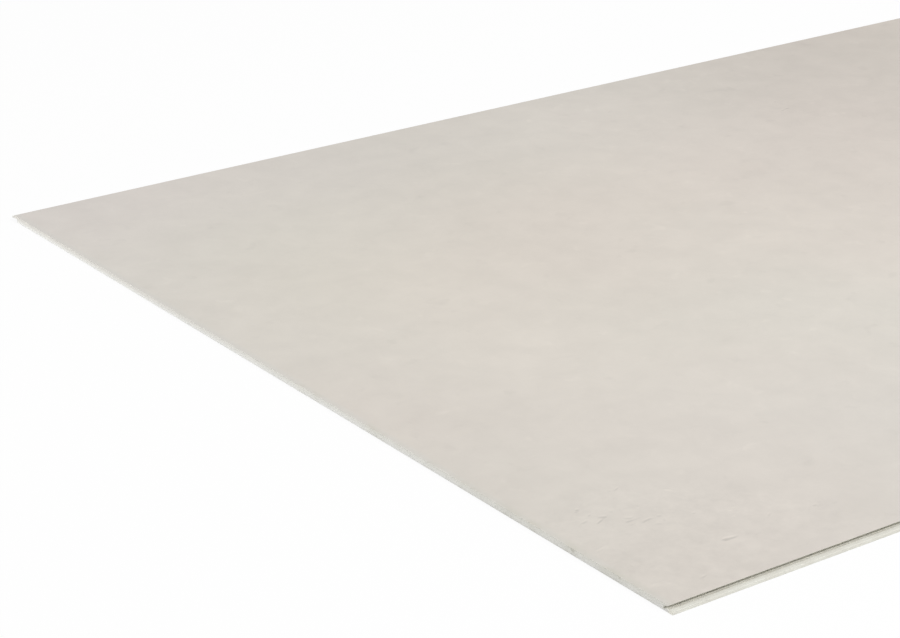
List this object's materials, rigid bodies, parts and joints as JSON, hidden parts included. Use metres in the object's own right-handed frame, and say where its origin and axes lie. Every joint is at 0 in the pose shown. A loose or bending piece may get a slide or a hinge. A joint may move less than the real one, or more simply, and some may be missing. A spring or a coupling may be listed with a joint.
{
  "type": "pvc wall panel",
  "caption": "Large flat PVC wall panel with a beige stone-look face, a groove over a projecting lower lip along one long edge and a matching tongue along the other.",
  "frame": {"origin": "on the back, under the middle of the printed face", "axes": "+X along the panel's length, +Y across it from the groove's edge to the tongue's edge, +Z out of the printed face"},
  "size_m": [2.6, 0.9088, 0.005],
  "materials": {
    "panel": "satin lacquered stone-look print on a cream-white PVC board"
  },
  "bodies": {
    "root": {"wall_panel": "panel"}
  },
  "joints": []
}
